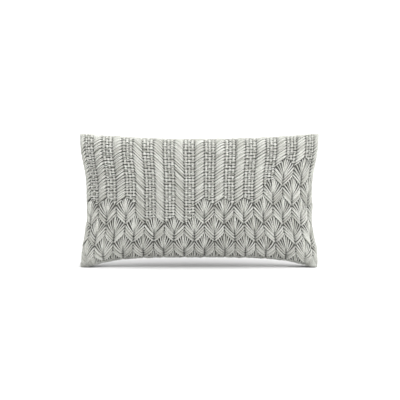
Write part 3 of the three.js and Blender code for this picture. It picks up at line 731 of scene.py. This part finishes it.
WOOL_GREYS = ((0.22, 0.223, 0.198), (0.37, 0.375, 0.346), (0.57, 0.575, 0.538))
wool, wool_tree, wool_shader = new_material("embroidery_wool")
yarn_split = wool_tree.nodes.new("ShaderNodeSeparateXYZ")
wool_tree.links.new(cloth_map(wool_tree, "yarn"), yarn_split.inputs[0])
yarn_shade = wool_tree.nodes.new("ShaderNodeAttribute")
yarn_shade.attribute_name = "shade"
ply = math_node(
    wool_tree,
    "ADD",
    math_node(wool_tree, "MULTIPLY", yarn_split.outputs[0], 2 * math.pi / 0.0035),
    math_node(wool_tree, "MULTIPLY", yarn_split.outputs[1], 4 * math.pi),
)
ply_round = math_node(wool_tree, "MULTIPLY", math_node(wool_tree, "SINE", ply), 0.5)
ply_round = math_node(wool_tree, "ADD", ply_round, 0.5)
fibre_vector = wool_tree.nodes.new("ShaderNodeCombineXYZ")
wool_tree.links.new(math_node(wool_tree, "MULTIPLY", yarn_split.outputs[0], 420.0), fibre_vector.inputs[0])
wool_tree.links.new(math_node(wool_tree, "MULTIPLY", yarn_split.outputs[1], 5.0), fibre_vector.inputs[1])
wool_tree.links.new(math_node(wool_tree, "MULTIPLY", yarn_shade.outputs["Fac"], 60.0), fibre_vector.inputs[2])
wool_heather = heather_node(wool_tree, fibre_vector.outputs[0], WOOL_GREYS)
STRAND_TONES = [(0, (0.72, 0.72, 0.70)), (0.5, (0.95, 0.95, 0.95)), (1, (1.15, 1.15, 1.16))]
strand_tone = ramp(wool_tree, yarn_shade.outputs["Fac"], STRAND_TONES)
toned = multiplied(wool_tree, wool_heather.outputs["Color"], strand_tone)
# Painted shade: the yarn's colour darkens towards near-black in the groove between its two plies.
painted_groove_shade = math_node(wool_tree, "MULTIPLY", math_node(wool_tree, "SUBTRACT", 1.0, ply_round), 0.28)
groove_shaded_color = mixed(wool_tree, painted_groove_shade, toned, (0.16, 0.16, 0.145))
wool_tree.links.new(groove_shaded_color, wool_shader.inputs["Base Color"])
wool_shader.inputs["Roughness"].default_value = 0.95
wool_shader.inputs["Specular IOR Level"].default_value = 0.2
wool_shader.inputs["Sheen Weight"].default_value = 0.15
wool_shader.inputs["Sheen Roughness"].default_value = 0.6
fuzz = math_node(wool_tree, "MULTIPLY", wool_heather.outputs["Fibre"], 0.6)
bumped(wool_tree, wool_shader, math_node(wool_tree, "ADD", ply_round, fuzz), 0.7, 0.0006)

# ==== Ribs ======================================================================================
# Thirteen raised ribs, three squares wide, each a ladder of slanting stitches laid two to a row.
# Ten slant up to the right, and three beside the middle slant down to the right and lie flatter.
REPEAT, RIB_WIDTH = 6, 3
RIB_RISE, FLAT_RIB_RISE = 0.0046, 0.0038
RIB_YARN, FLAT_RIB_YARN = 0.00128, 0.00112
RIB_PAIR, RIB_BOW, RIB_INSET = 0.12, 0.09, 0.06  # in squares
DOWN_RIBS = (-3, -2, -1)
FOOT_ROW, LEAF_SIDE_TOP, FREE_TIP = 4.4, 6.0, 8.3
LEAF_ROWS = {
    "leaf_row_1": (0, 27, 33),
    "leaf_row_2": (1, 24, 36),
    "leaf_row_3_left": (2, -33, -21),
    "leaf_row_3_right": (2, 3, 39),
    "leaf_row_4": (3, -36, 36),
    "leaf_row_5": (4, -33, 39),
    "leaf_row_6": (5, -36, 36),
}


def leaf_top(column, side):
    """The row where the leaves end just right (side 1) or left (side -1) of a column."""
    top = BOTTOM_ROW
    for level, first, last in LEAF_ROWS.values():
        for foot in range(first, last + 1, REPEAT):
            away = side * (column - foot)
            if -RIB_WIDTH <= away < RIB_WIDTH:
                share = abs(away) / RIB_WIDTH
                top = max(top, FOOT_ROW - REPEAT * level + FREE_TIP - (FREE_TIP - LEAF_SIDE_TOP) * share)
    return top


def trimmed(start, end, inside_tests, shortest=0.6):
    """The part of a stitch within the limits, or None. A test gives how far inside a place is."""
    start, end = np.array(start, dtype=float), np.array(end, dtype=float)
    low, high = 0.0, 1.0
    for test in inside_tests:
        at_start, at_end = test(*start), test(*end)
        if at_start < 0 and at_end < 0:
            return None
        if at_start < 0:
            low = max(low, at_start / (at_start - at_end))
        elif at_end < 0:
            high = min(high, at_start / (at_start - at_end))
    if (high - low) * np.hypot(*(end - start)) < shortest:
        return None
    return start + (end - start) * low, start + (end - start) * high


def above_leaves(left, right):
    low, high = leaf_top(left, 1), leaf_top(right, -1)
    return lambda column, row: row - (low + (high - low) * (column - left) / (right - left)) - 0.05


for number in range(1, 14):
    rib = number - 7
    left = rib * REPEAT
    falling = rib in DOWN_RIBS
    climb = -3 if falling else 2
    limits = [above_leaves(left, left + RIB_WIDTH), lambda column, row: TOP_ROW - row]
    stitches = []
    for row in range(-26, 26):
        for hand in (-1, 1):
            low_end, high_end = row + 0.5 + RIB_PAIR * hand, row + 0.5 + RIB_PAIR * hand + climb
            ends = trimmed((left + RIB_INSET, low_end), (left + RIB_WIDTH - RIB_INSET, high_end), limits)
            if ends is None:
                continue
            share = min(1.0, math.hypot(*(ends[1] - ends[0])) / 3)
            rise = (FLAT_RIB_RISE if falling else RIB_RISE) * (0.35 + 0.65 * share)
            stitches.append((*ends, rise, FLAT_RIB_YARN if falling else RIB_YARN, (0, RIB_BOW * hand)))
    needlework(f"rib_stitches_{number:02d}", [f"rib_{number:02d}"], stitches)

# ==== Woven bands ===============================================================================
# Between the ribs the yarn makes a flat weave, three squares wide. Two strands lie across each
# square, high over one and low over the next, and an upright strand ties the low ones together.
OVER_RISE, UNDER_RISE = 0.0030, 0.0022
BAND_YARN, TIE_YARN = 0.00125, 0.00105
BAND_PAIR, BAND_SLANT, BAND_BOW, TIE_REACH = 0.15, 0.05, 0.06, 0.28  # in squares
for number in range(1, 13):
    left = (number - 7) * REPEAT + RIB_WIDTH
    limits = [above_leaves(left, left + REPEAT - RIB_WIDTH), lambda column, row: TOP_ROW - row]
    stitches = []
    for row in range(-22, 22):
        for square in range(REPEAT - RIB_WIDTH):
            over = (row + square + number) % 2 == 0
            for hand in (-1, 1):
                half = 0.5 + BAND_PAIR * hand
                slant = BAND_SLANT if over else -BAND_SLANT
                start = (left + square + 0.02, row + half - slant)
                ends = trimmed(start, (left + square + 0.98, row + half + slant), limits)
                if ends is not None:
                    rise = OVER_RISE if over else UNDER_RISE
                    stitches.append((*ends, rise, BAND_YARN, (0, BAND_BOW * hand)))
            middle = left + square + 0.5
            ends = trimmed((middle, row - TIE_REACH), (middle, row + TIE_REACH), limits, 0.4)
            if not over and ends is not None:
                stitches.append((*ends, OVER_RISE, TIE_YARN, (0, 0)))
    needlework(f"woven_band_stitches_{number:02d}", [f"woven_band_{number:02d}"], stitches, short_strand)

# ==== Leaves ====================================================================================
# Rows of leaves climb from the bottom, each row set half a leaf aside from the last. A leaf is two
# halves of slanting stitches that meet at a vein, and they fan upright towards the tip.
LEAF_RISE, VEIN_GAP = 0.0046, 0.06
LEAF_YARN, MIDDLE_YARN = 0.0012, 0.00125
PAIR_HALF_GAP = 0.17
MIDDLE_FOOT, COVERED_TIP = 4.3, 8.75  # the middle stitch's foot, and a tip with leaves above it
# Heights above the foot: from the vein to the leaf's side, and from the vein to a place that far
# out on its top.
SIDE_STITCHES = ((0.22, 3.2), (1.15, 4.25), (2.1, 5.35))
TOP_STITCHES = ((2.75, 2.6), (3.15, 1.9), (3.55, 1.2), (3.95, 0.55))
for row_name, (level, first, last) in LEAF_ROWS.items():
    foot_row = FOOT_ROW - REPEAT * level
    limits = [
        lambda column, row: column - LEFT_COLUMN,
        lambda column, row: RIGHT_COLUMN - column,
        lambda column, row: row - BOTTOM_ROW,
    ]
    stitches = []
    for foot in range(first, last + 1, REPEAT):
        above = any(
            other == level - 1 and left <= foot + RIB_WIDTH and right >= foot - RIB_WIDTH
            for other, left, right in LEAF_ROWS.values()
        )
        tip = COVERED_TIP if above else FREE_TIP
        for hand in (-1, 1):
            paths = [
                ((VEIN_GAP, low + aside), (RIB_WIDTH - VEIN_GAP, high + aside))
                for low, high in SIDE_STITCHES
                for aside in (-PAIR_HALF_GAP, PAIR_HALF_GAP)
            ]
            for low, out in TOP_STITCHES:
                share = (1 - out / RIB_WIDTH) ** (1.0 if above else 0.75)
                top = LEAF_SIDE_TOP + (tip - LEAF_SIDE_TOP) * share
                paths.append(((VEIN_GAP, low), (out, top)))
            for (x0, y0), (x1, y1) in paths:
                ends = trimmed((foot + hand * x0, foot_row + y0), (foot + hand * x1, foot_row + y1), limits)
                if ends is not None:
                    share = min(1.0, math.hypot(*(ends[1] - ends[0])) / 3)
                    stitches.append((*ends, LEAF_RISE * (0.35 + 0.65 * share), LEAF_YARN, (0, 0)))
        middle = trimmed((foot, foot_row + MIDDLE_FOOT), (foot, foot_row + tip), limits)
        if middle is not None:
            stitches.append((*middle, LEAF_RISE, MIDDLE_YARN, (0, 0)))
    needlework(f"{row_name}_stitches", [row_name], stitches)

# ==== Back panels ===============================================================================
# The back is plain heathered cloth in two panels, the lower one low. Their edges are folded under
# beside the zip and topstitched, and the zip's chain shows between the folds.
BACK_THICKNESS = 0.0018
ZIP_AXIS = Vector((0, -1.422110, 0.062))
ZIP_RADIUS = 1.458661
ZIP_TILT = math.radians(25.324)
SLOT_HEIGHT, SLOT_HALF = 0.060503, 0.005539
HEM = 0.009
HEM_STAND, FOLD_DROP = 0.0005, 0.0009  # how far the hem stands out, and its folded edge turns in
ZIP_END, SHUT_BY, SHUT_GAP = 0.203, 0.213, 0.0002  # past its end the slot closes to this gap
TOPSTITCH_FROM_FOLD, TOPSTITCH_REACH = 0.0062, 0.245
TOPSTITCH_PITCH, TOPSTITCH_LENGTH, THREAD_RADIUS = 0.0036, 0.0029, 0.00036


def share_at_height(u, height):
    """How far up the back's cloth a level line runs, at each share across it."""
    low, high = np.full(u.shape, -1.0), np.full(u.shape, 1.0)
    for _ in range(30):
        middle = (low + high) / 2
        under = sample(back_grid, u, middle)[..., 2] < height
        low, high = np.where(under, middle, low), np.where(under, high, middle)
    return low


panel_u = np.linspace(-1, 1, 155)
for panel_name, node, edge_height, far_share, rows in (
    ("back_cloth_upper", "back_panel_upper", SLOT_HEIGHT + SLOT_HALF, 1, 66),
    ("back_cloth_lower", "back_panel_lower", SLOT_HEIGHT - SLOT_HALF, -1, 26),
):
    closing = smooth(ZIP_END, SHUT_BY, np.abs(panel_u) * SEAM_HALF_WIDTH)
    folded = share_at_height(panel_u, edge_height - far_share * (SLOT_HALF - SHUT_GAP) * closing)
    hem_shares = np.concatenate([np.linspace(0, 1, 8), 1 + np.linspace(0, 1, rows)[1:]])
    near = np.minimum(hem_shares, 1)[:, None] * (HEM / (CUT_HEIGHT / 2)) * far_share
    hem_line = folded[None, :] + near
    rest = np.maximum(hem_shares - 1, 0)[:, None]
    panel_v = hem_line + (far_share - hem_line) * rest
    hem_lift = HEM_STAND * (1 - smooth(0.85, 1.02, hem_shares))
    hem_lift = hem_lift - FOLD_DROP * (1 - smooth(0, 0.18, hem_shares))
    lift = np.broadcast_to(hem_lift[:, None], panel_v.shape)
    wide_u = np.broadcast_to(panel_u, panel_v.shape)
    if far_share < 0:
        panel_v, lift = panel_v[::-1], lift[::-1]
    panel = cloth_between(panel_name, back_grid, BACK, wide_u, panel_v, BACK_THICKNESS, lift)
    panel.data.materials.append(plain_cloth)
    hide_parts(node)
    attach(panel, "pillow")

    seed = np.random.default_rng(len(panel_name) + rows)
    stitch_x = np.arange(-TOPSTITCH_REACH, TOPSTITCH_REACH + 0.0001, TOPSTITCH_PITCH)
    stitch_along = np.linspace(-0.5, 0.5, 5)[None, :] * TOPSTITCH_LENGTH + stitch_x[:, None]
    line_u = stitch_along / (SEAM_HALF_WIDTH - 0.004)
    for _ in range(4):
        line_v = share_at_height(line_u, edge_height + far_share * TOPSTITCH_FROM_FOLD)
        line_x = sample(back_grid, line_u, line_v)[..., 0]
        line_u = line_u * stitch_along / np.where(np.abs(line_x) < 1e-6, 1, line_x)
    place, normal = face_frame(back_grid, BACK, line_u, line_v)
    sink = 0.0009 * np.array([-1, 0.2, 0.45, 0.2, -1])[None, :, None] + 0.0004
    thread_radii = np.full(len(stitch_x), THREAD_RADIUS)
    sewn_points, sewn_faces = bent_strands(short_strand, place + normal * sink, normal, thread_radii)
    topstitch = mesh_object(
        f"topstitching_{panel_name[-5:]}",
        sewn_points.reshape(-1, 3),
        [[i + sewn_points.shape[1] * n for i in face] for n in range(len(stitch_x)) for face in sewn_faces],
    )
    if panel_name.endswith("upper"):
        thread, thread_tree, thread_shader = new_material("sewing_thread")
        thread_place = scaled(thread_tree, object_place(thread_tree), (2600,) * 3)
        thread_noise = noise(thread_tree, thread_place, 1.0, 3.0)
        tinted(thread_tree, thread_shader, thread_noise, [(0.3, (0.2, 0.2, 0.18)), (0.7, (0.36, 0.36, 0.33))])
        thread_shader.inputs["Roughness"].default_value = 0.6
        bumped(thread_tree, thread_shader, thread_noise, 0.5, 0.0002)
    topstitch.data.materials.append(thread)
    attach(topstitch, "pillow")

# ==== Zip tapes =================================================================================
# Two woven tapes carry the zip's coils and are sewn behind the folded edges of the panels.
tape_cloth, tape_tree, tape_shader = new_material("zip_tape")
tape_axes = tape_tree.nodes.new("ShaderNodeSeparateXYZ")
tape_tree.links.new(object_place(tape_tree), tape_axes.inputs[0])
tape_flat = tape_tree.nodes.new("ShaderNodeCombineXYZ")
tape_tree.links.new(tape_axes.outputs[0], tape_flat.inputs[0])
tape_tree.links.new(tape_axes.outputs[2], tape_flat.inputs[1])
tape_weave = weave_node(tape_tree, tape_flat.outputs[0], 1500)
# Painted shade: the tape darkens between its threads.
tape_color_and_gap_shade = mixed(tape_tree, tape_weave.outputs["Gap"], (0.30, 0.30, 0.28), (0.14, 0.14, 0.13))
tape_tree.links.new(tape_color_and_gap_shade, tape_shader.inputs["Base Color"])
tape_shader.inputs["Roughness"].default_value = 0.85
bumped(tape_tree, tape_shader, tape_weave.outputs["Height"], 0.6, 0.0003)
for node in ("zip_tape_upper", "zip_tape_lower"):
    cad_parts[node].material_slots[0].material = tape_cloth

# ==== Zip coils =================================================================================
# Each row of teeth is one springy nylon wire wound into a flat coil and sewn to its tape.
WIRE = 0.00034  # radius of the wire
COIL_ACROSS, COIL_HALF_WIDTH = 0.00190, 0.00106
COIL_OUT, COIL_HALF_DEPTH = 0.00145, 0.00072
COIL_PITCH, COIL_HALF_LENGTH = 0.0014, 0.1995
TURN_PARTS, WIRE_SIDES = 10, 5


def beside_zip(along, across, out):
    """A place by the zip: metres along its arc, across from its middle, and out from its tapes."""
    radius = ZIP_RADIUS + out * math.cos(ZIP_TILT) + across * math.sin(ZIP_TILT)
    x = radius * np.sin(along / ZIP_RADIUS)
    y = ZIP_AXIS.y + radius * np.cos(along / ZIP_RADIUS)
    z = ZIP_AXIS.z + across * math.cos(ZIP_TILT) - out * math.sin(ZIP_TILT)
    return np.stack([x, y, z], axis=-1)


nylon, nylon_tree, nylon_shader = new_material("zip_nylon")
nylon_noise = noise(nylon_tree, scaled(nylon_tree, object_place(nylon_tree), (900,) * 3), 1.0, 3.0)
tinted(nylon_tree, nylon_shader, nylon_noise, [(0.3, (0.22, 0.22, 0.21)), (0.7, (0.30, 0.30, 0.285))])
nylon_shader.inputs["Roughness"].default_value = 0.38
bumped(nylon_tree, nylon_shader, nylon_noise, 0.2, 0.0001)
for coil_name, node, hand in (("coil_upper", "zip_coil_upper", 1), ("coil_lower", "zip_coil_lower", -1)):
    turns = int(2 * COIL_HALF_LENGTH / COIL_PITCH)
    wire_t = np.arange(turns * TURN_PARTS + 1) / TURN_PARTS
    wire_along = -COIL_HALF_LENGTH + wire_t * COIL_PITCH + (0.5 * COIL_PITCH if hand > 0 else 0)
    wire_along = np.minimum(wire_along, COIL_HALF_LENGTH)
    swing = 2 * np.pi * wire_t
    wire_across = hand * (COIL_ACROSS - COIL_HALF_WIDTH * np.cos(swing))
    wire_out = COIL_OUT + COIL_HALF_DEPTH * np.sin(swing)
    line = beside_zip(wire_along, wire_across, wire_out)
    forward = unit(np.gradient(line, axis=0))
    side_way = unit(np.cross(forward, np.broadcast_to([1.0, 0, 0], forward.shape)))
    other_way = np.cross(forward, side_way)
    ring_angles = np.arange(WIRE_SIDES) * 2 * np.pi / WIRE_SIDES
    rings = (
        line[:, None]
        + WIRE * np.cos(ring_angles)[None, :, None] * side_way[:, None]
        + WIRE * np.sin(ring_angles)[None, :, None] * other_way[:, None]
    )
    ring_index = np.arange(rings.shape[0] * WIRE_SIDES).reshape(rings.shape[0], WIRE_SIDES)
    next_index = np.roll(ring_index, -1, axis=1)
    wire_faces = np.stack([ring_index[:-1], next_index[:-1], next_index[1:], ring_index[1:]], axis=-1)
    wire_faces = wire_faces.reshape(-1, 4).tolist() + [ring_index[0, ::-1].tolist(), ring_index[-1].tolist()]
    coil = mesh_object(coil_name, rings.reshape(-1, 3), wire_faces)
    coil.data.materials.append(nylon)
    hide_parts(node)
    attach(coil, "pillow")

# ==== Zip slider, pull and stops ================================================================
# Small nickel-plated castings. Their edges are rounded by tumbling, and handling has worn them.
WORN_EDGE = 0.00022
nickel, nickel_tree, nickel_shader = new_material("zip_nickel")
brushed = noise(nickel_tree, scaled(nickel_tree, object_place(nickel_tree), (700, 2200, 700)), 1.0, 4.0, 0.6)
tinted(nickel_tree, nickel_shader, brushed, [(0.3, (0.50, 0.49, 0.47)), (0.7, (0.66, 0.65, 0.63))])
nickel_rough = ramp(nickel_tree, brushed, [(0.3, (0.26,) * 3), (0.7, (0.42,) * 3)])
nickel_tree.links.new(nickel_rough, nickel_shader.inputs["Roughness"])
nickel_shader.inputs["Metallic"].default_value = 1.0
bumped(nickel_tree, nickel_shader, brushed, 0.15, 0.0001)
for metal_name, node, body in (
    ("slider_casting", "zip_slider", "slider"),
    ("pull_tab", "zip_pull", "pull"),
    ("top_stop_upper", "zip_top_stop_upper", "pillow"),
    ("top_stop_lower", "zip_top_stop_lower", "pillow"),
    ("bottom_stop", "zip_bottom_stop", "pillow"),
):
    bpy.ops.object.select_all(action="DESELECT")
    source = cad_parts[node]
    casting = bpy.data.objects.new(metal_name, source.data.copy())
    scene.collection.objects.link(casting)
    casting.data.materials.clear()
    casting.data.materials.append(nickel)
    casting.select_set(True)
    bpy.context.view_layer.objects.active = casting
    bpy.ops.object.mode_set(mode="EDIT")
    bpy.ops.mesh.select_all(action="SELECT")
    bpy.ops.mesh.remove_doubles(threshold=0.00001)
    bpy.ops.object.mode_set(mode="OBJECT")
    rounding = casting.modifiers.new("rounding", "BEVEL")
    rounding.width = WORN_EDGE
    rounding.segments = 2
    rounding.limit_method = "ANGLE"
    rounding.angle_limit = math.radians(35)
    bpy.ops.object.modifier_apply(modifier=rounding.name)
    bpy.ops.object.shade_smooth_by_angle(angle=math.radians(40))
    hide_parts(node)
    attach(casting, body)

# ==== Floor and light ===========================================================================
# A white studio floor under a broad soft light from above, the front and the right, with a bright
# even surround.
bpy.ops.object.select_all(action="DESELECT")
bpy.ops.mesh.primitive_plane_add(size=60, location=(0, 0, 0))
floor = bpy.context.object
floor.name = "studio_floor"
floor_paint, floor_tree, floor_shader = new_material("studio_floor")
floor_noise = noise(floor_tree, scaled(floor_tree, object_place(floor_tree), (3,) * 3), 1.0, 2.0)
tinted(floor_tree, floor_shader, floor_noise, [(0.3, (0.47, 0.47, 0.47)), (0.7, (0.49, 0.49, 0.49))])
floor_shader.inputs["Roughness"].default_value = 0.9
floor_shader.inputs["Specular IOR Level"].default_value = 0.0
floor.data.materials.append(floor_paint)

bpy.ops.object.light_add(type="SUN", location=(1.5, -2, 3))
key_light = bpy.context.object
key_light.data.energy = 8.9
key_light.data.angle = math.radians(95)
key_light.rotation_euler = Vector((-0.45, 0.5, -1.45)).to_track_quat("-Z", "Y").to_euler()

bpy.ops.object.light_add(type="SUN", location=(0, -3, 0.8))
low_light = bpy.context.object
low_light.data.energy = 1.1
low_light.data.angle = math.radians(16)
low_light.rotation_euler = Vector((0, 1, -0.2)).to_track_quat("-Z", "Y").to_euler()

world = bpy.data.worlds.new("studio")
world.use_nodes = True
scene.world = world
world_tree = world.node_tree
surround = world_tree.nodes["Background"]
surround.inputs["Color"].default_value = (1, 1, 1, 1)
seen = world_tree.nodes.new("ShaderNodeLightPath")
facing = world_tree.nodes.new("ShaderNodeSeparateXYZ")
world_tree.links.new(world_tree.nodes.new("ShaderNodeTexCoord").outputs["Generated"], facing.inputs[0])
from_front = math_node(world_tree, "MULTIPLY_ADD", facing.outputs[1], -0.4)
from_front.node.inputs[2].default_value = 0.42
backdrop = math_node(world_tree, "MULTIPLY", seen.outputs["Is Camera Ray"], 1.3)
brightness = math_node(world_tree, "MAXIMUM", from_front, backdrop)
world_tree.links.new(brightness, surround.inputs["Strength"])
